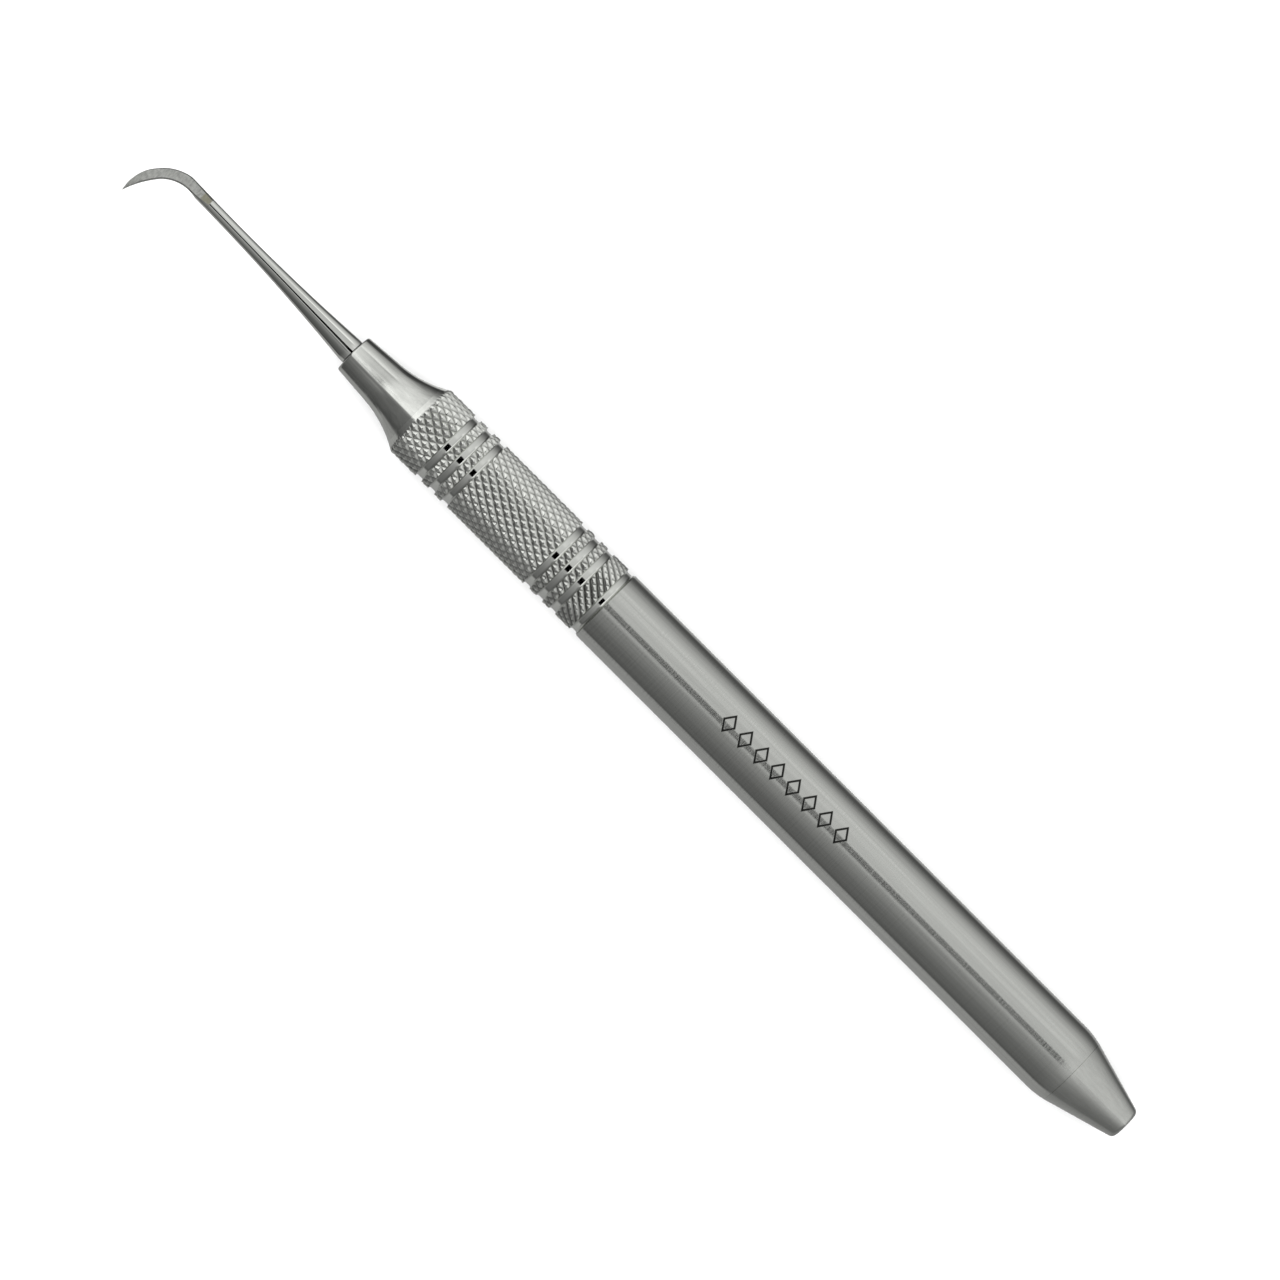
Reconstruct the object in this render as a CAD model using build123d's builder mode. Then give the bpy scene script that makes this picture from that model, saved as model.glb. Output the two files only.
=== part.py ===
from build123d import *
import math
import os

# A one-ended hand scaler: a sickle blade on a slim shank, pressed into a knurled grip,
# which plugs into a plain hollow barrel closed by a tapered tail.
#
# The tool lies on a table. X runs along the handle, +X to the blade, with X = 0 at
# mid-length. The blade hooks towards +Y. Z = 0 is the table, under the knurl's crests.
# A "station" is a distance back from the blade's foremost point. Sizes are in mm.

# ---- driving dimensions ------------------------------------------------------------

overall_length = 155.9

# Blade and shank, ground from one bent rod that swells to a 1/8 in tang
rod_diameter = 1.44
rod_bend_radius = 5.3
rod_bend_station = 5.6
shank_tilt = 1.1
shank_sections = 6
tang_diameter = 3.175
tang_visible = 0.7
tang_depth = 11.0
tang_chamfer = 0.3
socket_clearance = 0.2
socket_mouth_chamfer = 0.08

# The blade's outline, as (station, reach): a back of two arcs and a face of two arcs
blade_point = (0.17, 5.5)
back_foremost = (0.0, 4.2)
back_change = (1.33, 0.82)
back_change_slope = -51.5
back_end = (5.9, -1.28)
face_end = (7.2, 0.345)
face_low = (5.85, 0.16)
face_change = (2.35, 1.53)
face_change_slope = -50.5
ground_end = 9.4
outline_clearance = 1.5

# Round the bend, by angle: the radius of the forged blank, and how thick the blade is
# ground, as a half thickness at its back and at its face
bend_sections = (
    (0, 0.72, 0.20, 0.62),
    (12, 0.80, 0.16, 0.57),
    (25, 0.90, 0.13, 0.52),
    (50, 0.95, 0.09, 0.42),
    (75, 0.85, 0.06, 0.27),
    (103, 0.60, 0.02, 0.06),
)
# The same where the flanks run out on the shank, and where the ground part ends
runout_station = 8.45
runout_halves = (0.55, 0.90)
ground_end_halves = (0.72, 1.10)
flank_reach = 0.9

# Grip: nose, flare and knurled bands
nose_face = 31.87
nose_diameter = 5.0
nose_edge_radius = 0.25
nose_cone_end = 36.5
nose_cone_end_diameter = 5.7
flare_end = 42.82
front_crest_diameter = 9.74
main_crest_diameter = 9.70
rear_ring_diameter = 9.62
rear_crest_diameter = 9.56
front_band_end = 46.65
main_band_end = 63.95
rear_band_end = 71.35
rings_in_a_group = 2
ring_width = 1.05
groove_width = 1.0
groove_diameter = 9.06
relief_diameter = 8.92
groove_fillet = 0.22

# Barrel: a 3/8 in tube
barrel_start = 72.3
barrel_diameter = 9.525
barrel_wall = 0.6
barrel_front_chamfer = 0.16
spigot_length = 8.0
spigot_chamfer = 0.4
grip_bore_diameter = 7.0
grip_bore_end = 47.0
drill_point_angle = 118

# Tail
seam_station = 147.2
seam_break = 0.03
taper_start = 146.22
taper_angle = 15.9
taper_blend_radius = 10.0
tail_edge_radius = 0.7
plug_spigot_length = 6.0
plug_bore_diameter = 5.4
plug_bore_end = 151.0

# ---- worked out from them ----------------------------------------------------------

rod_radius = rod_diameter / 2
tang_radius = tang_diameter / 2
crest_radius = front_crest_diameter / 2
barrel_radius = barrel_diameter / 2
barrel_bore_radius = barrel_radius - barrel_wall
shank_root = nose_face - tang_visible
taper_slope = math.tan(math.radians(taper_angle))
tail_end_radius = barrel_radius - (overall_length - taper_start) * taper_slope
spigot_end = barrel_start + spigot_length
plug_spigot_start = seam_station - plug_spigot_length

# The knurled bands: the grooves come in groups, with rings left standing between them.
group_length = (rings_in_a_group + 1) * groove_width + rings_in_a_group * ring_width
main_band_start = front_band_end + group_length
rear_band_start = main_band_end + group_length

# Turned pieces are drawn as (station, radius). The blade is drawn as (station, reach),
# where reach is the distance from the handle's axis towards the hook's side.
foremost = (overall_length / 2, 0, crest_radius)
lathe_plane = Plane(origin=foremost, x_dir=(-1, 0, 0), z_dir=(0, 1, 0))
blade_plane = Plane(origin=foremost, x_dir=(-1, 0, 0), z_dir=(0, 0, -1))
spin_axis = Axis(foremost, (-1, 0, 0))


def on_shank(station):
    """The (station, reach) of the shank's centre line, which leans away from the hook."""
    return (station, -(shank_root - station) * math.tan(math.radians(shank_tilt)))


def shank_radius(station):
    """The shank's radius: it swells slowly at first, and fastest where it meets the tang."""
    swell = (station - ground_end) / (shank_root - ground_end)
    return rod_radius + (tang_radius - rod_radius) * swell**2


def on_bend(angle):
    """The (station, reach) of the rod's centre line, an angle round its bend."""
    turn = math.radians(angle)
    bend_start = on_shank(rod_bend_station)
    return (
        bend_start[0] - rod_bend_radius * math.sin(turn),
        bend_start[1] + rod_bend_radius * (1 - math.cos(turn)),
    )


def across_rod(centre, angle=0):
    """The plane across the rod at a (station, reach), its X towards the blade's face."""
    turn = math.radians(angle)
    return Plane(
        origin=blade_plane.from_local_coords((*centre, 0)),
        x_dir=(-math.sin(turn), math.cos(turn), 0),
        z_dir=(math.cos(turn), math.sin(turn), 0),
    )


def disc(plane, radius):
    """A round section."""
    with BuildSketch(plane) as section:
        Circle(radius)
    return section.sketch


def wedge(plane, back_half, face_half):
    """A section thin towards the blade's back and thick towards its face."""
    with BuildSketch(plane) as section:
        with BuildLine():
            Polyline(
                (-flank_reach, -back_half),
                (flank_reach, -face_half),
                (flank_reach, face_half),
                (-flank_reach, back_half),
                close=True,
            )
        make_face()
    return section.sketch


def slope(angle):
    """A direction in a sketch, this many degrees up from the stations' axis."""
    return (math.cos(math.radians(angle)), math.sin(math.radians(angle)))


def drilled(mouth, floor, radius):
    """Half the outline of a drilled hole on the handle's axis, with its drill point."""
    inwards = math.copysign(1, floor - mouth)
    drill_tip = floor + inwards * radius / math.tan(math.radians(drill_point_angle / 2))
    with BuildSketch(lathe_plane) as hole:
        with BuildLine():
            Polyline((mouth, 0), (mouth, radius), (floor, radius), (drill_tip, 0), close=True)
        make_face()
    return hole.sketch


def spigot(shoulder, end):
    """Half the outline of a spigot that fills the barrel's bore, from a shoulder to its end."""
    inwards = math.copysign(1, shoulder - end)
    with BuildSketch(lathe_plane) as plug:
        with BuildLine():
            Polyline(
                (shoulder, 0),
                (shoulder, barrel_bore_radius),
                (end + inwards * spigot_chamfer, barrel_bore_radius),
                (end, barrel_bore_radius - spigot_chamfer),
                (end, 0),
                close=True,
            )
        make_face()
    return plug.sketch


# ---- scaler tip: blade, shank and tang, one piece ----------------------------------

blank_discs = [
    disc(across_rod(on_shank(ground_end)), rod_radius),
    disc(across_rod(on_shank(runout_station)), rod_radius),
]
flank_wedges = [
    wedge(across_rod(on_shank(ground_end)), *ground_end_halves),
    wedge(across_rod(on_shank(runout_station)), *runout_halves),
]
for angle, blank_radius, back_half, face_half in bend_sections:
    bend_plane = across_rod(on_bend(angle), angle)
    blank_discs.append(disc(bend_plane, blank_radius))
    flank_wedges.append(wedge(bend_plane, back_half, face_half))

shank_discs = []
for step in range(shank_sections + 1):
    station = ground_end + (shank_root - ground_end) * step / shank_sections
    shank_discs.append(disc(across_rod(on_shank(station)), shank_radius(station)))

with BuildPart() as scaler_tip:
    # The blank, forged to a hook
    loft(sections=blank_discs)

    # Its back and its face ground to the outline
    with BuildSketch(blade_plane):
        with BuildLine():
            ThreePointArc(blade_point, back_foremost, back_change)
            TangentArc(back_change, back_end, tangent=slope(back_change_slope))
            Polyline(
                back_end,
                (ground_end, back_end[1]),
                (ground_end, outline_clearance),
                (face_end[0], outline_clearance),
                face_end,
            )
            ThreePointArc(face_end, face_low, face_change)
            TangentArc(face_change, blade_point, tangent=slope(180 + face_change_slope))
        make_face()
    extrude(amount=rod_diameter, both=True, mode=Mode.INTERSECT)

    # Its two flanks ground flat, running out on the shank
    loft(sections=flank_wedges, mode=Mode.INTERSECT)

    # The shank, swelling to the tang
    loft(sections=shank_discs)

    # The tang, most of it hidden in the handle
    with BuildSketch(lathe_plane):
        with BuildLine():
            Polyline(
                (shank_root, 0),
                (shank_root, tang_radius),
                (nose_face + tang_depth - tang_chamfer, tang_radius),
                (nose_face + tang_depth, tang_radius - tang_chamfer),
                (nose_face + tang_depth, 0),
                close=True,
            )
        make_face()
    revolve(axis=spin_axis)
scaler_tip.part.label = "scaler_tip"

# ---- grip: nose, flare and knurled bands, one turned piece -------------------------

with BuildPart() as grip:
    # The turned outside, each band at the height of its own crests
    with BuildSketch(lathe_plane):
        with BuildLine():
            Polyline(
                (nose_face, 0),
                (nose_face, nose_diameter / 2),
                (nose_cone_end, nose_cone_end_diameter / 2),
            )
            TangentArc(
                (nose_cone_end, nose_cone_end_diameter / 2),
                (flare_end, crest_radius),
                tangent=(nose_cone_end - nose_face, (nose_cone_end_diameter - nose_diameter) / 2),
            )
            Polyline(
                (flare_end, crest_radius),
                (main_band_start - groove_width / 2, crest_radius),
                (main_band_start - groove_width / 2, main_crest_diameter / 2),
                (main_band_end + groove_width / 2, main_crest_diameter / 2),
                (main_band_end + groove_width / 2, rear_ring_diameter / 2),
                (rear_band_start - groove_width / 2, rear_ring_diameter / 2),
                (rear_band_start - groove_width / 2, rear_crest_diameter / 2),
                (rear_band_end, rear_crest_diameter / 2),
                (rear_band_end, relief_diameter / 2),
                (barrel_start, relief_diameter / 2),
                (barrel_start, 0),
                (nose_face, 0),
            )
        make_face()
        nose_edge = vertices().sort_by_distance((nose_face, nose_diameter / 2))[0]
        fillet(nose_edge, nose_edge_radius)
    revolve(axis=spin_axis)

    # The ring grooves, with rounded floors
    with BuildSketch(lathe_plane):
        for group_start in (front_band_end, main_band_end):
            for step in range(rings_in_a_group + 1):
                groove_start = group_start + step * (groove_width + ring_width)
                with Locations((groove_start, groove_diameter / 2)):
                    Rectangle(groove_width, groove_width, align=(Align.MIN, Align.MIN))
        fillet(vertices().group_by(Axis.Y)[0], groove_fillet)
    revolve(axis=spin_axis, mode=Mode.SUBTRACT)

    # The spigot that the barrel is pressed over
    add(spigot(barrel_start, spigot_end))
    revolve(axis=spin_axis)

    # The tang's socket, its broken mouth, and the bore that lightens the grip
    add(drilled(nose_face, nose_face + tang_depth + socket_clearance, tang_radius))
    revolve(axis=spin_axis, mode=Mode.SUBTRACT)
    chamfer(faces().sort_by(Axis.X)[-1].inner_wires().edges(), socket_mouth_chamfer)
    add(drilled(spigot_end, grip_bore_end, grip_bore_diameter / 2))
    revolve(axis=spin_axis, mode=Mode.SUBTRACT)
grip.part.label = "grip"

# ---- barrel tube and tail plug, turned in one setting across their seam ------------

with BuildPart() as rear_blank:
    with BuildSketch(lathe_plane):
        with BuildLine():
            Polyline(
                (barrel_start, 0),
                (barrel_start, barrel_radius),
                (taper_start, barrel_radius),
                (overall_length, tail_end_radius),
                (overall_length, 0),
                close=True,
            )
        make_face()
        front_corner = vertices().sort_by_distance((barrel_start, barrel_radius))[0]
        chamfer(front_corner, barrel_front_chamfer)
        taper_corner = vertices().sort_by_distance((taper_start, barrel_radius))[0]
        fillet(taper_corner, taper_blend_radius)
        tail_corner = vertices().sort_by_distance((overall_length, tail_end_radius))[0]
        fillet(tail_corner, tail_edge_radius)
    revolve(axis=spin_axis)

seam_plane = Plane(origin=lathe_plane.from_local_coords((seam_station, 0, 0)), z_dir=(1, 0, 0))

with BuildPart() as barrel_tube:
    add(rear_blank.part)
    split(bisect_by=seam_plane, keep=Keep.TOP)
    with BuildSketch(seam_plane):
        Circle(barrel_bore_radius)
    extrude(amount=seam_station - barrel_start, mode=Mode.SUBTRACT)
    chamfer(faces().sort_by(Axis.X)[0].outer_wire().edges(), seam_break)
barrel_tube.part.label = "barrel_tube"

with BuildPart() as tail_plug:
    add(rear_blank.part)
    split(bisect_by=seam_plane, keep=Keep.BOTTOM)
    chamfer(faces().sort_by(Axis.X)[-1].outer_wire().edges(), seam_break)
    add(spigot(seam_station, plug_spigot_start))
    revolve(axis=spin_axis)
    add(drilled(plug_spigot_start, plug_bore_end, plug_bore_diameter / 2))
    revolve(axis=spin_axis, mode=Mode.SUBTRACT)
tail_plug.part.label = "tail_plug"

# ---- write the pieces --------------------------------------------------------------

os.makedirs("parts", exist_ok=True)
export_step(scaler_tip.part, "parts/scaler_tip.step")
export_step(grip.part, "parts/grip.step")
export_step(barrel_tube.part, "parts/barrel_tube.step")
export_step(tail_plug.part, "parts/tail_plug.step")
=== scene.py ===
"""The looks of a hand scaler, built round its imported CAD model.

The tool lies along X, with its blade towards +X and the hook towards +Y. Lengths among the
driving values are in millimetres. A "station" is a distance back from the blade's foremost
point, as in the CAD source.
"""

import math

import bpy
import numpy as np
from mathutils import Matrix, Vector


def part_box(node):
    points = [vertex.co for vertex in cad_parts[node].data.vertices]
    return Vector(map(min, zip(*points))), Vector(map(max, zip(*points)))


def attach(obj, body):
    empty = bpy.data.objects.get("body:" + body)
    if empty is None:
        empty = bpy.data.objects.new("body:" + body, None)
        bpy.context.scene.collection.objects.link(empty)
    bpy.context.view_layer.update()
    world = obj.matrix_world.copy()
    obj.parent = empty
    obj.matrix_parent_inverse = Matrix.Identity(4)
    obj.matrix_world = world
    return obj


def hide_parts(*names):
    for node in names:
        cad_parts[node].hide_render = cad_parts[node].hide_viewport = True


MM = 0.001

# ---- driving values ----------------------------------------------------------------

# The tip: a bent rod, ground flat up to a small step and swelling along its shank to a plain
# tang. Angles are in degrees.
rod_radius = 0.72
rod_bend_radius = 5.3
rod_bend_station = 5.6
shank_tilt = 1.1
flats_start = 8.4
flats_step = 0.02
swell_start = 9.4
shank_root = 31.17
tang_radius = 1.5875
tang_end = 42.87

# The blade's outline, as (station, reach): a back of two arcs and a face of two arcs, where
# the reach is the distance from the handle's axis towards the hook's side
blade_point = (0.17, 5.5)
back_foremost = (0.0, 4.2)
back_change = (1.33, 0.82)
back_change_slope = -51.5
back_end = (5.9, -1.28)
heel = (6.98, 0.33)
face_low = (5.9, 0.13)
face_change = (2.35, 1.53)
face_change_slope = 129.5

# The blade's sections, by the run along the rod from where its bend starts: the radius of
# the forged blank, and how thick it is ground, as a half thickness at its back and its face
blade_sections = (
    (-2.80, 0.72, 0.45, 0.90),
    (0.00, 0.72, 0.24, 0.62),
    (1.11, 0.80, 0.20, 0.57),
    (2.31, 0.90, 0.17, 0.52),
    (4.62, 0.95, 0.13, 0.42),
    (6.94, 0.85, 0.09, 0.27),
    (9.53, 0.60, 0.03, 0.06),
)
flank_reach = 0.9
back_bevel = 66
face_bevel = 50
face_bevel_width = 0.2
edge_half_thickness = 0.01
point_width = 0.03

# How finely the tip's mesh is drawn: rings along it, and columns across half of a ring
shank_rings = 60
blade_rings = 220
side_columns = 12
flat_columns = 18
outline_points = 200
trial_points = 400
ridge_share = 0.02
tip_sharp_angle = 16

# The small groove where the tip is fixed into the nose, coloured near black as painted shade
joint_line_width = 0.13
joint_line_depth = 0.06

# The grip as it is turned, as stations and radii
nose_face = 31.87
nose_radius = 2.5
nose_edge_radius = 0.25
nose_edge_rise = 0.02
nose_edge_points = 6
nose_cone_end = 36.5
nose_cone_end_radius = 2.85
flare_end = 42.82
front_band_end = 46.65
main_band_end = 63.95
rear_band_end = 71.35
barrel_start = 72.3
front_crest_radius = 4.87
main_crest_radius = 4.85
rear_ring_radius = 4.81
rear_crest_radius = 4.78
ring_width = 1.05
groove_width = 1.0
groove_radius = 4.53
groove_fillet = 0.22
fillet_turns = (0, 45, 77, 90)
flare_steps = 13
grip_sharp_angle = 50
relief_radius = 4.46
relief_fillet = 0.27
spigot_radius = 4.1625
spigot_length = 8.0
grip_bore_radius = 3.5
grip_bore_end = 47.0
socket_radius = 1.5875
socket_end = 43.07
socket_chamfer = 0.08

# The knurl: two families of crossing grooves, each with its depth and its share of the pitch.
# Its rings keep this share of a step away from the ends of a band.
knurl_starts = 28
knurl_pitch = 1.506
slanted_pitch = 1.15
knurl_start = 42.35
steps_per_pitch = 12
ring_clearance = 0.1
even_knurl = ((0.24, 0.72), (0.24, 0.72))
crossed_knurl = ((0.25, 0.72), (0.20, 0.62))
slanted_knurl = ((0.27, 0.80), (0.15, 0.45))

# Camera: straight above the tool, which lies corner to corner in the picture
frame_width = 145.4
camera_distance = 970
sensor_width = 36
picture_turn = 225

# Where the brown of the heat treatment is left on the ground flats, and its share of each
# channel of the steel's colour
browned = (7.2, 8.4)
browned_softness = 0.1
brown_share = (0.55, 0.53, 0.43)

# The brown is thinner in the darker scratches: the scratches' noise and the brown left there
scratched = (0.3, 0.5)
brown_left = (0.6, 1.0)

# The etched mark on the barrel: a row of plain lozenges
mark_start = 90.5
mark_pitch = 2.55
mark_count = 8
mark_half_width = 0.95
mark_half_height = 1.35
mark_offset = -0.47
mark_line = 0.3
mark_softness = 0.06
row_softness = 0.01
barrel_radius = 4.7625

# Steel: the share of the light it reflects, and for each finish its darkest and brightest tone
# as shares of that, and its least and greatest roughness
steel_colour = (0.605, 0.615, 0.585)
polished_tones = (1.18, 1.42)
polished = (0.04, 0.07)
ground_tones = (0.52, 0.92)
mottle_tone = 0.95
mottle_span = (0.45, 0.75)
ground = (0.34, 0.46)
# The joint line's near-black colour is painted shade
joint_shade_tones = (0.04, 0.10)
# The knurl's crests are lifted above the steel's colour as a painted highlight, and its grooves
# are darkened as painted shade
crest_highlight_tones = (1.15, 1.55)
knurl_groove_painted_shade = 0.35
rolled = (0.08, 0.16)
# The groove floors and the nose are lifted above the steel's colour as a painted highlight; the
# noise between their tones is the finish's own
turned_highlight_tones = (1.14, 1.26)
turned = (0.05, 0.09)
nose_highlight_tones = (1.05, 1.30)
brushed = (0.12, 0.16)
satin_tones = (0.95, 1.05)
satin = (0.15, 0.19)
etched_tone = 0.06
etched_roughness = 0.5

# The knurl's colour carries painted shade below the first of these radii and a painted highlight
# above the second. Where it runs out on the flare it takes the painted highlight all over, and
# the painted shade fades in between these stations.
knurl_shade = (4.56, 4.76)
flare_shade = (flare_end - 0.4, flare_end - 0.2)

# Noise hardly leaves this part of 0 to 1
noise_middle = (0.3, 0.7)

# The studio's light round the handle, as (angle from straight up towards the hook's side,
# brightness): behind the tool, over its middle, over its nose and in front of it
rear_light = (
    (-180, 0.55), (-165, 0.60), (-150, 0.36), (-140, 0.23), (-130, 0.23), (-120, 0.34),
    (-110, 0.50), (-100, 0.62), (-85, 0.74), (-70, 0.82), (-40, 0.92), (-14, 0.95), (0, 0.92),
    (10, 0.80), (20, 0.62), (30, 0.50), (40, 0.38), (60, 0.30), (85, 0.24), (100, 0.23),
    (112, 0.31), (125, 0.35), (150, 0.35), (180, 0.42),
)
middle_light = (
    (-180, 0.50), (-155, 0.55), (-148, 0.50), (-143, 0.22), (-136, 0.13), (-128, 0.14),
    (-120, 0.21), (-110, 0.33), (-100, 0.50), (-90, 0.66), (-80, 0.80), (-70, 0.88),
    (-50, 0.98), (-40, 1.05), (-33, 0.88), (-10.6, 0.82), (-9.2, 0.70), (0, 1.20),
    (9.2, 0.80), (10.5, 0.56), (17, 0.54), (21, 0.46), (33, 0.39), (50, 0.29),
    (70, 0.225), (90, 0.195), (98, 0.13), (105, 0.53), (150, 0.44), (180, 0.45),
)
nose_light = (
    (-180, 0.60), (-165, 0.90), (-152, 0.70), (-144, 0.15), (-136, 0.05), (-114, 0.07),
    (-107, 0.36), (-100, 0.59), (-85, 0.80), (-70, 0.99), (-60, 1.50), (-53, 0.66),
    (-40, 0.70), (-14, 0.75), (-8, 1.60), (0, 2.20), (5, 1.60), (10, 1.00), (14, 0.70),
    (18, 0.34), (24, 0.22), (30, 0.36), (40, 0.25), (60, 0.16), (80, 0.12), (95, 0.12),
    (110, 0.04), (120, 0.48), (150, 0.42), (180, 0.45),
)
front_light = (
    (-180, 0.50), (-168, 0.50), (-160, 0.28), (-150, 0.10), (-140, 0.05), (-131, 0.10),
    (-120, 0.20), (-110, 0.36), (-100, 0.62), (-85, 0.85), (-70, 1.05), (-50, 1.15),
    (-30, 1.25), (0, 1.38), (12, 1.50), (16, 0.34), (24, 0.23), (40, 0.21), (60, 0.18),
    (80, 0.145), (95, 0.085), (102, 0.14), (108, 0.42), (150, 0.42), (180, 0.50),
)
brightest_panel = 2.2
rear_to_middle = (-24, -10)
middle_to_nose = (3, 9)
nose_to_front = (16, 20)
camera_gap = ((-10.6, 10.2), (-9.5, 13.0))
camera_gap_softness = 0.7
floor_half = 1500
floor_drop = 0.2
floor_white = 0.9
backdrop_brightness = 0.95
lamp_height = 1000
lamp_diameter = 2500
lamp_energy = 46

# ---- the frame ---------------------------------------------------------------------

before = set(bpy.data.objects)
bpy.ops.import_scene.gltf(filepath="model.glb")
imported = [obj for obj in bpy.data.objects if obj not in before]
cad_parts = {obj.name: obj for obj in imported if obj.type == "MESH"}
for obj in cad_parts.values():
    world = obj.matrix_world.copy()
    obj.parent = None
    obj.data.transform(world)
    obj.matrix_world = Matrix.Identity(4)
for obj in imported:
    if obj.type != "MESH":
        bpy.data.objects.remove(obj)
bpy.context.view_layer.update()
grip_low, grip_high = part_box("grip")
axis_height = (grip_low.z + grip_high.z) / 2
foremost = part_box("scaler_tip")[1].x


def add_piece(name, mesh, material_list, replaced):
    """Puts a finished mesh in the scene, in place of a CAD node."""
    for material in material_list:
        mesh.materials.append(material)
    piece = bpy.data.objects.new(name, mesh)
    bpy.context.scene.collection.objects.link(piece)
    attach(piece, "root")
    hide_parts(replaced)
    return piece


# ---- node graphs -------------------------------------------------------------------


class Graph:
    """Short names for adding shader nodes and joining them up."""

    def __init__(self, owner):
        owner.use_nodes = True
        self.tree = owner.node_tree

    def put(self, value, socket):
        """Links a socket's output, or sets a plain value."""
        if isinstance(value, bpy.types.NodeSocket):
            self.tree.links.new(value, socket)
        else:
            socket.default_value = value

    def add(self, kind, **settings):
        """A new node, with its properties set."""
        node = self.tree.nodes.new(kind)
        for name, value in settings.items():
            setattr(node, name, value)
        return node

    def math(self, operation, *values):
        """The result of a sum on numbers or sockets."""
        node = self.add("ShaderNodeMath", operation=operation)
        for value, socket in zip(values, node.inputs):
            self.put(value, socket)
        return node.outputs[0]

    def span(self, value, low, high, to_low=0.0, to_high=1.0, smooth=False):
        """Maps a range of values onto another, and holds it at both ends."""
        node = self.add("ShaderNodeMapRange")
        if smooth:
            node.interpolation_type = "SMOOTHSTEP"
        for name, given in (
            ("Value", value),
            ("From Min", low),
            ("From Max", high),
            ("To Min", to_low),
            ("To Max", to_high),
        ):
            self.put(given, node.inputs[name])
        return node.outputs[0]

    def between(self, value, low, high, softness):
        """1 between two values and 0 outside them, with soft edges."""
        rise = self.span(value, low - softness, low + softness, smooth=True)
        fall = self.span(value, high - softness, high + softness, 1.0, 0.0, smooth=True)
        return self.math("MULTIPLY", rise, fall)

    def noise(self, place, along, across, detail):
        """Noise from 0 to 1, with its number of features per millimetre along and across X."""
        mapping = self.add("ShaderNodeMapping")
        self.put(place, mapping.inputs["Vector"])
        mapping.inputs["Scale"].default_value = (along / MM, across / MM, across / MM)
        noise = self.add("ShaderNodeTexNoise")
        self.put(mapping.outputs[0], noise.inputs["Vector"])
        noise.inputs["Scale"].default_value = 1.0
        noise.inputs["Detail"].default_value = detail
        return noise.outputs[0]

    def contrast(self, noise, low=0.0, high=1.0):
        """Stretches noise, which stays near its middle, over a whole range."""
        return self.span(noise, *noise_middle, low, high)

    def axes(self, vector):
        """A vector's three parts."""
        node = self.add("ShaderNodeSeparateXYZ")
        self.put(vector, node.inputs[0])
        return node.outputs

    def station(self, place):
        """The station in millimetres."""
        return self.math("DIVIDE", self.math("SUBTRACT", foremost, self.axes(place)[0]), MM)

    def from_axis(self, place):
        """The distance from the handle's axis in millimetres."""
        x, y, z = self.axes(place)
        above = self.math("SUBTRACT", z, axis_height)
        squares = self.math("ADD", self.math("POWER", y, 2.0), self.math("POWER", above, 2.0))
        return self.math("DIVIDE", self.math("SQRT", squares), MM)

    def round_axis(self, place):
        """The angle round the handle's axis in degrees, from straight up towards +Y."""
        x, y, z = self.axes(place)
        above = self.math("SUBTRACT", z, axis_height)
        return self.math("DEGREES", self.math("ARCTAN2", y, above))

    def blend(self, kind, factor, first, second):
        """A Mix node keeps sockets for every kind of data, and only one kind is enabled."""
        node = self.add("ShaderNodeMix", data_type=kind)
        sockets = [socket for socket in node.inputs if socket.enabled]
        for value, socket in zip((factor, first, second), sockets):
            self.put(value, socket)
        return next(socket for socket in node.outputs if socket.enabled)

    def mix(self, factor, first, second):
        """Blends two numbers."""
        return self.blend("FLOAT", factor, first, second)

    def tint(self, factor, first, second):
        """Blends two colours."""
        return self.blend("RGBA", factor, first, second)


# ---- materials ---------------------------------------------------------------------


def new_steel(name):
    """A metal material: its graph, its shader and the object's own coordinates."""
    material = bpy.data.materials.new(name)
    graph = Graph(material)
    shader = graph.tree.nodes["Principled BSDF"]
    shader.inputs["Metallic"].default_value = 1.0
    place = graph.add("ShaderNodeTexCoord").outputs["Object"]
    return material, graph, shader, place


def steel(*shares):
    """The steel's colour, with a share of it for all channels or for each."""
    return tuple(channel * share for channel, share in zip(steel_colour, shares * 3)) + (1.0,)


def colour(graph, shader, value):
    """Sets the surface's colour."""
    graph.put(value, shader.inputs["Base Color"])


def tones(graph, factor, span):
    """Steel between its darkest and its brightest tone."""
    darkest, brightest = span
    return graph.tint(factor, steel(darkest), steel(brightest))


def roughness(graph, shader, value):
    """Sets the surface's roughness."""
    graph.put(value, shader.inputs["Roughness"])


def bump(graph, shader, height, depth):
    """Raises and lowers the surface by up to this many millimetres."""
    node = graph.add("ShaderNodeBump")
    graph.put(height, node.inputs["Height"])
    node.inputs["Distance"].default_value = depth * MM
    node.inputs["Strength"].default_value = 1.0
    graph.put(node.outputs[0], shader.inputs["Normal"])


def brush_crosswise(graph, shader):
    """Fine lines round the handle, which spread reflections along it."""
    shader.inputs["Anisotropic"].default_value = 1.0
    shader.inputs["Anisotropic Rotation"].default_value = 0.25
    tangent = graph.add("ShaderNodeTangent", direction_type="RADIAL", axis="X")
    graph.put(tangent.outputs[0], shader.inputs["Tangent"])


def polished_steel():
    """Bright lengthwise polish."""
    material, graph, shader, place = new_steel("polished_steel")
    lines = graph.noise(place, along=0.3, across=9, detail=3)
    colour(graph, shader, tones(graph, lines, polished_tones))
    roughness(graph, shader, graph.contrast(lines, *polished))
    return material


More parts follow.
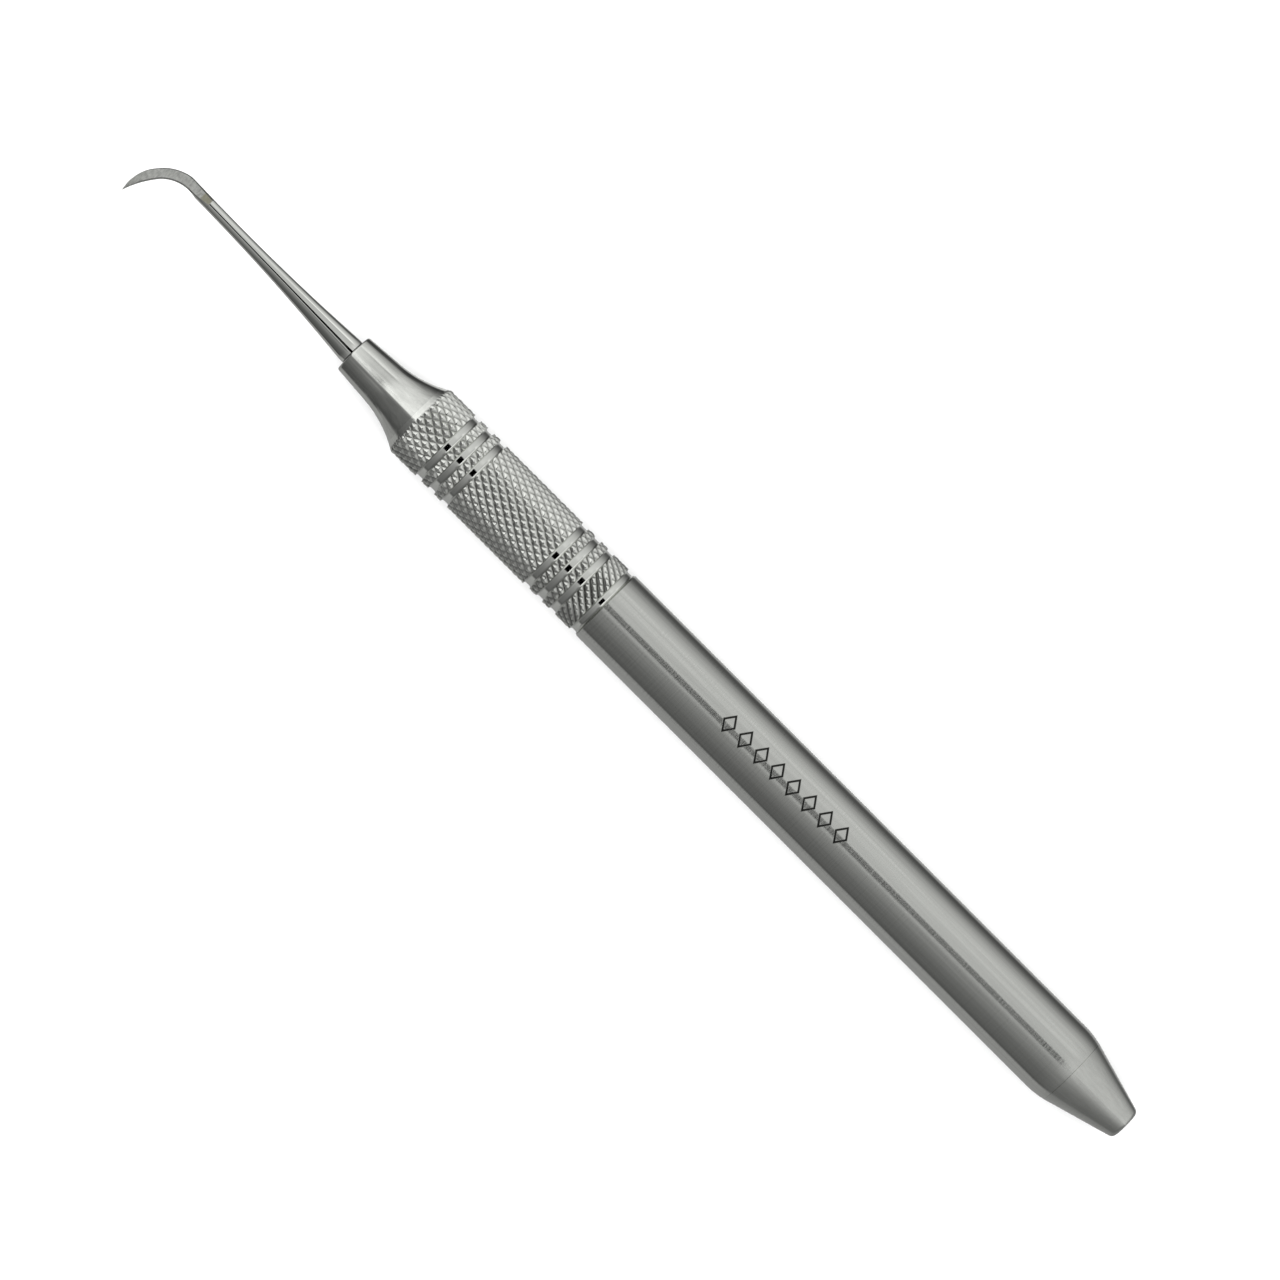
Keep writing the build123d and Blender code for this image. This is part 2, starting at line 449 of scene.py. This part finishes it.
def ground_steel():
    """The grey ground flats of the blade, with a brown patch where they run out."""
    material, graph, shader, place = new_steel("ground_steel")
    scratches = graph.noise(place, along=7, across=2, detail=4)
    mottle = graph.noise(place, along=2.2, across=2.2, detail=2)
    grey = tones(graph, graph.contrast(scratches), ground_tones)
    grey = graph.tint(graph.span(mottle, *mottle_span), grey, steel(mottle_tone))
    patch = graph.between(graph.station(place), *browned, browned_softness)
    patch = graph.math("MULTIPLY", patch, graph.span(scratches, *scratched, *brown_left))
    colour(graph, shader, graph.tint(patch, grey, steel(*brown_share)))
    roughness(graph, shader, graph.contrast(scratches, *ground))
    bump(graph, shader, scratches, depth=0.02)
    return material


def joint_shade_steel():
    """Painted shade: the dark line round the tang where it leaves the nose, over its small
    groove.
    """
    material, graph, shader, place = new_steel("joint_shade_steel")
    specks = graph.noise(place, along=4, across=4, detail=2)
    colour(graph, shader, tones(graph, specks, joint_shade_tones))
    roughness(graph, shader, graph.contrast(specks, *ground))
    return material


def knurl_steel():
    """Rolled knurl, with a painted highlight on the crests and painted shade darkening its
    colour down in the grooves.
    """
    material, graph, shader, place = new_steel("knurled_steel")
    specks = graph.noise(place, along=2.5, across=2.5, detail=3)
    # Painted shade and highlight: the colour darkens from the crests down into the grooves, by
    # the distance from the axis
    height = graph.span(graph.from_axis(place), *knurl_shade)
    on_flare = graph.span(graph.station(place), *flare_shade, 1.0, 0.0)
    height = graph.math("MAXIMUM", height, on_flare)
    crest = tones(graph, specks, crest_highlight_tones)
    colour(graph, shader, graph.tint(height, steel(knurl_groove_painted_shade), crest))
    roughness(graph, shader, graph.contrast(specks, *rolled))
    bump(graph, shader, specks, depth=0.008)
    return material


def turned_steel():
    """The bright turned floors of the grooves, their colour lifted above the steel's own as a
    painted highlight.
    """
    material, graph, shader, place = new_steel("turned_steel")
    rings = graph.noise(place, along=12, across=0.3, detail=2)
    colour(graph, shader, tones(graph, rings, turned_highlight_tones))
    roughness(graph, shader, graph.contrast(rings, *turned))
    bump(graph, shader, rings, depth=0.0004)
    return material


def nose_steel():
    """The nose and flare, turned, then brushed crosswise, with a few streaks along them, their
    colour lifted above the steel's own as a painted highlight.
    """
    material, graph, shader, place = new_steel("nose_steel")
    brush_crosswise(graph, shader)
    rings = graph.noise(place, along=6, across=0.3, detail=2)
    streaks = graph.noise(place, along=0.12, across=2.2, detail=4)
    colour(graph, shader, tones(graph, graph.contrast(streaks), nose_highlight_tones))
    roughness(graph, shader, graph.contrast(rings, *brushed))
    bump(graph, shader, rings, depth=0.0006)
    return material


def lozenges(graph, place):
    """1 on the lines of the etched mark and 0 beside them."""
    along = graph.math("SUBTRACT", graph.station(place), mark_start)
    cell = graph.math("SUBTRACT", graph.math("PINGPONG", along, mark_pitch / 2), mark_pitch / 2)
    along_share = graph.math("DIVIDE", graph.math("ABSOLUTE", cell), mark_half_width)
    across = graph.math("MULTIPLY", graph.round_axis(place), math.radians(barrel_radius))
    across = graph.math("SUBTRACT", across, mark_offset)
    across_share = graph.math("DIVIDE", graph.math("ABSOLUTE", across), mark_half_height)
    edge = graph.math("ADD", along_share, across_share)
    line = graph.between(edge, 1 - mark_line / mark_half_width, 1, mark_softness)
    row = graph.between(along, 0, mark_pitch * mark_count, row_softness)
    return graph.math("MULTIPLY", line, row)


def satin_steel(name, mark=None):
    """Cross-brushed satin, with an etched mark if a mask is given for it."""
    material, graph, shader, place = new_steel(name)
    brush_crosswise(graph, shader)
    rings = graph.noise(place, along=4, across=0.1, detail=2)
    grain = graph.noise(place, along=0.06, across=2.5, detail=3)
    metal = tones(graph, graph.contrast(grain), satin_tones)
    sheen = graph.contrast(rings, *satin)
    if mark:
        etched = mark(graph, place)
        metal = graph.tint(etched, metal, steel(etched_tone))
        sheen = graph.mix(etched, sheen, etched_roughness)
    colour(graph, shader, metal)
    roughness(graph, shader, sheen)
    bump(graph, shader, rings, depth=0.02)
    return material


# ---- turned and drawn meshes -------------------------------------------------------


class Tube:
    """A closed mesh drawn ring by ring, from one end to the other."""

    def __init__(self, segments):
        self.segments = segments
        self.rings = []
        self.finishes = []

    def add(self, stations, reaches, heights, finish=0):
        """One ring. The finish is the material of the faces between it and the last ring."""
        x = foremost - np.broadcast_to(stations, self.segments) * MM
        self.rings.append(np.stack([x, reaches * MM, axis_height + heights * MM], axis=1))
        self.finishes.append(np.broadcast_to(finish, self.segments))

    def walls(self, points):
        """The faces between the rings: quads, split along whichever diagonal lies flatter."""
        index = np.arange(len(self.rings) * self.segments).reshape(-1, self.segments)
        beside = np.roll(index, -1, axis=1)
        quads = np.stack([index[:-1], beside[:-1], beside[1:], index[1:]], axis=-1)
        quads = quads.reshape(-1, 4)
        radii = np.hypot(points[:, 1], points[:, 2] - axis_height)
        rise = np.abs(radii[quads[:, 0]] - radii[quads[:, 2]])
        fall = np.abs(radii[quads[:, 1]] - radii[quads[:, 3]])
        one_way = quads[:, [0, 1, 2, 0, 2, 3]]
        other_way = quads[:, [0, 1, 3, 1, 2, 3]]
        return np.where((rise <= fall)[:, None], one_way, other_way).reshape(-1, 3)

    def caps(self):
        """Fans over both ends, round the two points that follow the rings'."""
        count = len(self.rings) * self.segments
        first = np.arange(self.segments)
        last = first + count - self.segments
        first_pole = np.full(self.segments, count)
        first_cap = np.stack([first_pole, np.roll(first, -1), first], axis=-1)
        last_cap = np.stack([first_pole + 1, last, np.roll(last, -1)], axis=-1)
        return np.concatenate([first_cap, last_cap])

    def mesh(self, name, sharp_angle):
        """The finished mesh, its caps in the first material."""
        poles = [ring.mean(axis=0) for ring in (self.rings[0], self.rings[-1])]
        points = np.concatenate([*self.rings, poles])
        faces = np.concatenate([self.walls(points), self.caps()])
        finishes = np.repeat(np.concatenate(self.finishes[1:]), 2)
        finishes = np.concatenate([finishes, np.zeros(2 * self.segments, int)])
        mesh = bpy.data.meshes.new(name)
        mesh.from_pydata(points.tolist(), [], faces.tolist())
        mesh.polygons.foreach_set("material_index", finishes.astype(np.int32))
        mesh.shade_smooth()
        mesh.set_sharp_from_angle(angle=math.radians(sharp_angle))
        mesh.update()
        return mesh


class Turning(Tube):
    """A tube turned round the handle's axis."""

    def __init__(self, segments):
        super().__init__(segments)
        self.angles = np.arange(segments) * 2 * math.pi / segments

    def ring(self, station, radius, finish=0):
        """One ring, with one radius or a radius for each segment."""
        radii = np.broadcast_to(radius, self.segments)
        self.add(station, radii * np.sin(self.angles), radii * np.cos(self.angles), finish)

    def line(self, points, finish=0):
        """A ring at each point of an outline."""
        for station, radius in points:
            self.ring(station, radius, finish)


# ---- the tip's mesh ----------------------------------------------------------------

# The order of the tip's materials, and the columns from its back to its face
polish, flat, joint = range(3)
half_ring = 2 * side_columns + flat_columns + 1


def lean(station):
    """The reach of the shank's centre line, which leans away from the hook."""
    return -(shank_root - station) * math.tan(math.radians(shank_tilt))


def sweep(start, end, centre):
    """Points round a centre from a start to an end, the short way."""
    first = math.atan2(start[1] - centre[1], start[0] - centre[0])
    last = math.atan2(end[1] - centre[1], end[0] - centre[0])
    turn = (last - first + math.pi) % (2 * math.pi) - math.pi
    angles = first + turn * np.linspace(0, 1, outline_points)
    radius = math.dist(start, centre)
    return centre[0] + radius * np.cos(angles), centre[1] + radius * np.sin(angles)


def arc_through(start, middle, end):
    """An arc through three points."""
    ways = np.subtract((middle, end), start)
    centre = np.add(start, np.linalg.solve(2 * ways, (ways**2).sum(axis=1)))
    return sweep(start, end, centre)


def arc_from(start, slope, end):
    """An arc from a start, where it has a slope in degrees, to an end."""
    across = np.array([-math.sin(math.radians(slope)), math.cos(math.radians(slope))])
    way = np.subtract(end, start)
    centre = np.add(start, across * way.dot(way) / (2 * way.dot(across)))
    return sweep(start, end, centre)


def along_rod(stations, reaches):
    """Runs along the bent rod from where its bend starts, and offsets towards the hook."""
    centre_reach = lean(rod_bend_station) + rod_bend_radius
    turns = np.arctan2(rod_bend_station - stations, centre_reach - reaches)
    arms = np.hypot(rod_bend_station - stations, centre_reach - reaches)
    straight = stations > rod_bend_station
    runs = np.where(straight, rod_bend_station - stations, turns * rod_bend_radius)
    return runs, np.where(straight, reaches - lean(stations), rod_bend_radius - arms)


def off_rod(run, offsets):
    """The stations and reaches of offsets towards the hook, at a run along the rod."""
    if run <= 0:
        station = rod_bend_station - run
        return np.full_like(offsets, station), lean(station) + offsets
    turn = run / rod_bend_radius
    arms = rod_bend_radius - offsets
    centre_reach = lean(rod_bend_station) + rod_bend_radius
    return rod_bend_station - arms * math.sin(turn), centre_reach - arms * math.cos(turn)


def outline(*arcs):
    """A side of the blade's outline as runs and offsets, the runs rising to the point."""
    points = [np.concatenate(axis) for axis in zip(*arcs)]
    runs, offsets = along_rod(*points)
    order = np.argsort(runs)
    return runs[order], offsets[order]


def tip_ring(tube, stations, reaches, heights, finish):
    """A ring from the back underneath to the face, and back over the top."""
    both = [np.concatenate([side, side[::-1]]) for side in (stations, reaches)]
    heights = np.maximum(heights, edge_half_thickness)
    tube.add(*both, np.concatenate([-heights, heights[::-1]]), finish)


def round_ring(tube, station, radius, centre, finish=polish):
    """A round ring of the tip, about a centre at this reach."""
    angles = np.linspace(0, math.pi, half_ring)
    stations = np.full(half_ring, station)
    tip_ring(tube, stations, centre - radius * np.cos(angles), radius * np.sin(angles), finish)


def blade_section(run):
    """The blank's radius, and the blade's half thickness at its back and its face."""
    runs, *sizes = zip(*blade_sections)
    return [np.interp(run, runs, size) for size in sizes]


def blade_heights(offsets, run, back, face):
    """Half the blade's thickness at each offset, and what its ground flat alone would be."""
    blank, back_half, face_half = blade_section(run)
    thickening = (face_half - back_half) / (2 * flank_reach)
    ground_flat = back_half + thickening * (offsets + flank_reach)
    rounded = np.sqrt(np.maximum(blank**2 - offsets**2, 0))
    heights = np.minimum(rounded, ground_flat)
    bevel = (offsets - back) * math.tan(math.radians(back_bevel))
    heights = np.minimum(heights, edge_half_thickness + bevel)
    if face < blank:
        slope = math.tan(math.radians(face_bevel))
        flat_at_face = back_half + thickening * (face + flank_reach)
        wall = max(flat_at_face - face_bevel_width * slope, edge_half_thickness)
        heights = np.minimum(heights, wall + (face - offsets) * slope)
    return heights, ground_flat


def flat_span(run, back, face):
    """The offsets where the ground flat starts and ends, or the ridge where there is none."""
    trial = np.linspace(back, face, trial_points)
    heights, ground_flat = blade_heights(trial, run, back, face)
    on_flat = trial[heights == ground_flat]
    reach = int(ridge_share * trial_points)
    if on_flat.size < reach:
        peak = np.argmax(heights)
        on_flat = trial[peak - reach : peak + reach]
    return on_flat[0], on_flat[-1]


def blade(tube, back_side, face_side):
    """The blade, with columns of its mesh along both edges of its ground flats."""
    flats = np.full(2 * half_ring, polish)
    flats[side_columns : side_columns + flat_columns] = flat
    flats[half_ring:-1] = flats[: half_ring - 1][::-1]
    to_flat = 1 - np.cos(np.linspace(0, math.pi / 2, side_columns + 1))
    first_run = blade_sections[0][0]
    for run in np.linspace(first_run, back_side[0][-1], blade_rings)[:-1]:
        blank = blade_section(run)[0]
        back = max(np.interp(run, *back_side), -blank)
        face = min(np.interp(run, *face_side), blank)
        if face - back < point_width:
            break
        flat_start, flat_end = flat_span(run, back, face)
        offsets = np.concatenate([
            back + (flat_start - back) * to_flat,
            np.linspace(flat_start, flat_end, flat_columns + 1)[1:-1],
            face - (face - flat_end) * to_flat[::-1],
        ])
        heights, _ = blade_heights(offsets, run, back, face)
        tip_ring(tube, *off_rod(run, offsets), heights, polish if run == first_run else flats)


def tip_mesh():
    """Tang, joint line, shank and ground blade."""
    tube = Tube(2 * half_ring)
    joint_radius = tang_radius - joint_line_depth
    joint_start = nose_face - joint_line_width
    round_ring(tube, tang_end, tang_radius, 0)
    round_ring(tube, nose_face, tang_radius, 0)
    round_ring(tube, nose_face, joint_radius, 0, joint)
    round_ring(tube, joint_start, joint_radius, 0, joint)
    round_ring(tube, joint_start, tang_radius, 0, joint)
    shank = np.linspace(shank_root, swell_start, shank_rings)
    for station in [*shank, flats_start + flats_step]:
        swell = max(station - swell_start, 0) / (shank_root - swell_start)
        radius = rod_radius + (tang_radius - rod_radius) * swell**2
        round_ring(tube, station, radius, lean(station))
    back_side = outline(
        arc_through(blade_point, back_foremost, back_change),
        arc_from(back_change, back_change_slope, back_end),
    )
    face_side = outline(
        arc_through(heel, face_low, face_change),
        arc_from(face_change, face_change_slope, blade_point),
    )
    blade(tube, back_side, face_side)
    return tube.mesh("polished_tip", tip_sharp_angle)


# ---- the grip's mesh ---------------------------------------------------------------

# The order of the grip's materials
knurled, floors, nose = range(3)


def arc(centre, radius, angles):
    """Points round an arc in the (station, radius) plane, at these angles in degrees."""
    turns = np.radians(angles)
    return [(centre[0] + radius * math.cos(a), centre[1] + radius * math.sin(a)) for a in turns]


def knurl_cut(station, angles, families, pitch):
    """How deep the knurl's grooves cut below the crests, round one ring of the grip."""
    turns = angles / (2 * math.pi) * knurl_starts
    along = station / pitch
    cut = np.zeros_like(angles)
    for (depth, share), phase in zip(families, (turns - along, turns + along)):
        from_groove = np.abs(phase - np.round(phase)) * 2
        cut = np.maximum(cut, depth * np.clip(1 - from_groove / share, 0, 1))
    return cut


def cone_slope():
    """The slope of the nose's cone, in radians."""
    return math.atan2(nose_cone_end_radius - nose_radius, nose_cone_end - nose_face)


def flare_radius(station):
    """The flare: an arc that leaves the nose's cone smoothly and ends at the knurl's crests."""
    run = flare_end - nose_cone_end
    rise = front_crest_radius - nose_cone_end_radius
    half_turn = math.atan2(rise, run) - cone_slope()
    bend = math.hypot(run, rise) / 2 / math.sin(half_turn)
    centre_station = nose_cone_end - bend * math.sin(cone_slope())
    centre_radius = nose_cone_end_radius + bend * math.cos(cone_slope())
    return centre_radius - math.sqrt(bend**2 - (station - centre_station) ** 2)


def nose_and_flare(turning):
    """The socket, its mouth, the nose's rounded edge, its cone and the flare."""
    mouth = nose_face + socket_chamfer
    turning.line([(socket_end, socket_radius), (mouth, socket_radius)], floors)
    turning.line([(nose_face, socket_radius + socket_chamfer)], floors)
    edge_centre = (nose_face + nose_edge_radius, nose_radius + nose_edge_rise - nose_edge_radius)
    edge_angles = np.linspace(180, 90 + math.degrees(cone_slope()), nose_edge_points)
    turning.line(arc(edge_centre, nose_edge_radius, edge_angles), nose)
    for station in np.linspace(nose_cone_end, knurl_start, flare_steps)[:-1]:
        turning.ring(station, flare_radius(station), nose)


def band(turning, start, end, crest, families, pitch=knurl_pitch, on_flare=False):
    """A knurled band, its rings on the lattice of the knurl. On the flare it runs out."""
    step = pitch / steps_per_pitch
    first = math.ceil(start / step + ring_clearance)
    last = math.floor(end / step - ring_clearance)
    for station in [start, *(count * step for count in range(first, last + 1)), end]:
        radii = crest - knurl_cut(station, turning.angles, families, pitch)
        if on_flare and station < flare_end:
            radii = np.minimum(radii, flare_radius(station))
        turning.ring(station, radii, floors if station == start and not on_flare else knurled)


def hollow(turning, start, end, floor_radius, fillet):
    """A groove with a fillet along both sides of its floor."""
    turns = np.array(fillet_turns)
    front = (start + fillet, floor_radius + fillet)
    rear = (end - fillet, floor_radius + fillet)
    turning.line(arc(front, fillet, 180 + turns), floors)
    turning.line(arc(rear, fillet, 360 - turns[::-1]), floors)


def grooves_and_rings(turning, start, crest, ring_knurls):
    """Knurled rings with a groove before, between and after them. Gives where they end."""
    station = start
    for families in ring_knurls:
        hollow(turning, station, station + groove_width, groove_radius, groove_fillet)
        station += groove_width
        band(turning, station, station + ring_width, crest, families)
        station += ring_width
    hollow(turning, station, station + groove_width, groove_radius, groove_fillet)
    return station + groove_width


def relief_and_spigot(turning):
    """The last groove, the spigot inside the barrel and the bore up the middle."""
    spigot_end = barrel_start + spigot_length
    hollow(turning, rear_band_end, barrel_start, relief_radius, relief_fillet)
    turning.line([(barrel_start, spigot_radius), (spigot_end, spigot_radius)], floors)
    turning.line([(spigot_end, grip_bore_radius), (grip_bore_end, grip_bore_radius)], floors)


def grip_mesh():
    """Nose, flare, knurled bands, grooves and spigot, with the socket and the bore inside."""
    turning = Turning(knurl_starts * steps_per_pitch)
    nose_and_flare(turning)
    band(turning, knurl_start, front_band_end, front_crest_radius, even_knurl, on_flare=True)
    front_rings = (even_knurl, crossed_knurl)
    rear_rings = (crossed_knurl, crossed_knurl)
    station = grooves_and_rings(turning, front_band_end, front_crest_radius, front_rings)
    band(turning, station, main_band_end, main_crest_radius, crossed_knurl)
    station = grooves_and_rings(turning, main_band_end, rear_ring_radius, rear_rings)
    band(turning, station, rear_band_end, rear_crest_radius, slanted_knurl, slanted_pitch)
    relief_and_spigot(turning)
    return turning.mesh("knurled_grip", grip_sharp_angle)


# ---- the pieces --------------------------------------------------------------------


def assign(node, material):
    """Gives a CAD node its material."""
    node.data.materials.clear()
    node.data.materials.append(material)


tip_finishes = [polished_steel(), ground_steel(), joint_shade_steel()]
add_piece("polished_tip", tip_mesh(), tip_finishes, "scaler_tip")
assign(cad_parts["barrel_tube"], satin_steel("satin_steel", lozenges))
assign(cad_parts["tail_plug"], satin_steel("satin_steel_tail"))
grip_finishes = [knurl_steel(), turned_steel(), nose_steel()]
add_piece("knurled_grip", grip_mesh(), grip_finishes, "grip")

# ---- studio ------------------------------------------------------------------------


def light_band(graph, angle, falloff):
    """The brightness at each angle round the handle."""
    node = graph.add("ShaderNodeValToRGB")
    stops = node.color_ramp.elements
    for degrees, _ in falloff[1:-1]:
        stops.new((degrees + 180) / 360)
    for stop, (degrees, brightness) in zip(stops, falloff):
        stop.color = (brightness / brightest_panel,) * 3 + (1.0,)
    graph.put(graph.span(angle, -180, 180), node.inputs[0])
    return graph.math("MULTIPLY", node.outputs[0], brightest_panel)


def studio_light():
    """Soft panels all round the tool, with a gap for the camera over its middle."""
    world = bpy.data.worlds.new("studio")
    bpy.context.scene.world = world
    graph = Graph(world)
    graph.tree.nodes.clear()
    x, y, z = graph.axes(graph.add("ShaderNodeTexCoord").outputs["Generated"])
    round_handle = graph.math("DEGREES", graph.math("ARCTAN2", y, z))
    along_handle = graph.math("DEGREES", graph.math("ARCSINE", x))
    light = light_band(graph, round_handle, rear_light)
    for seam, falloff in (
        (rear_to_middle, middle_light),
        (middle_to_nose, nose_light),
        (nose_to_front, front_light),
    ):
        share = graph.span(along_handle, *seam, smooth=True)
        light = graph.mix(share, light, light_band(graph, round_handle, falloff))
    (low, high), (back, forward) = camera_gap
    across_gap = graph.between(round_handle, low, high, camera_gap_softness)
    along_gap = graph.between(along_handle, back, forward, camera_gap_softness)
    gap = graph.math("MULTIPLY", across_gap, along_gap)
    light = graph.math("MULTIPLY", light, graph.math("SUBTRACT", 1.0, gap))
    seen = graph.add("ShaderNodeLightPath").outputs["Is Camera Ray"]
    background = graph.add("ShaderNodeBackground")
    graph.put(graph.mix(seen, light, backdrop_brightness), background.inputs["Strength"])
    output = graph.add("ShaderNodeOutputWorld")
    graph.put(background.outputs[0], output.inputs[0])
    world.cycles_visibility.diffuse = False


def add_to_scene(name, data, location):
    """A new object in the scene's collection."""
    added = bpy.data.objects.new(name, data)
    added.location = location
    bpy.context.scene.collection.objects.link(added)
    return added


def floor():
    """A pale matt floor, which the steel doesn't mirror."""
    half = floor_half * MM
    corners = [(-half, -half, 0), (half, -half, 0), (half, half, 0), (-half, half, 0)]
    mesh = bpy.data.meshes.new("floor")
    mesh.from_pydata(corners, [], [(0, 1, 2, 3)])
    material = bpy.data.materials.new("floor")
    material.use_nodes = True
    shader = material.node_tree.nodes["Principled BSDF"]
    shader.inputs["Base Color"].default_value = (floor_white, floor_white, floor_white, 1)
    shader.inputs["Roughness"].default_value = 1.0
    shader.inputs["Specular IOR Level"].default_value = 0.0
    mesh.materials.append(material)
    ground_plane = add_to_scene("floor", mesh, (0, 0, -floor_drop * MM))
    ground_plane.visible_glossy = False


def overhead_lamp():
    """A broad soft lamp for the floor, left out of the steel's reflections."""
    light = bpy.data.lights.new("overhead", "AREA")
    light.shape = "DISK"
    light.size = lamp_diameter * MM
    light.energy = lamp_energy
    lamp = add_to_scene("overhead", light, (0, 0, lamp_height * MM))
    lamp.visible_glossy = False
    lamp.visible_camera = False


def overhead_camera():
    """Looks straight down, with the tool lying corner to corner."""
    data = bpy.data.cameras.new("camera")
    data.sensor_width = sensor_width
    data.lens = sensor_width * camera_distance / frame_width
    camera = add_to_scene("camera", data, (0, 0, axis_height + camera_distance * MM))
    camera.rotation_euler.z = math.radians(picture_turn)
    bpy.context.scene.camera = camera
    bpy.context.scene.view_settings.view_transform = "Standard"


studio_light()
floor()
overhead_lamp()
overhead_camera()
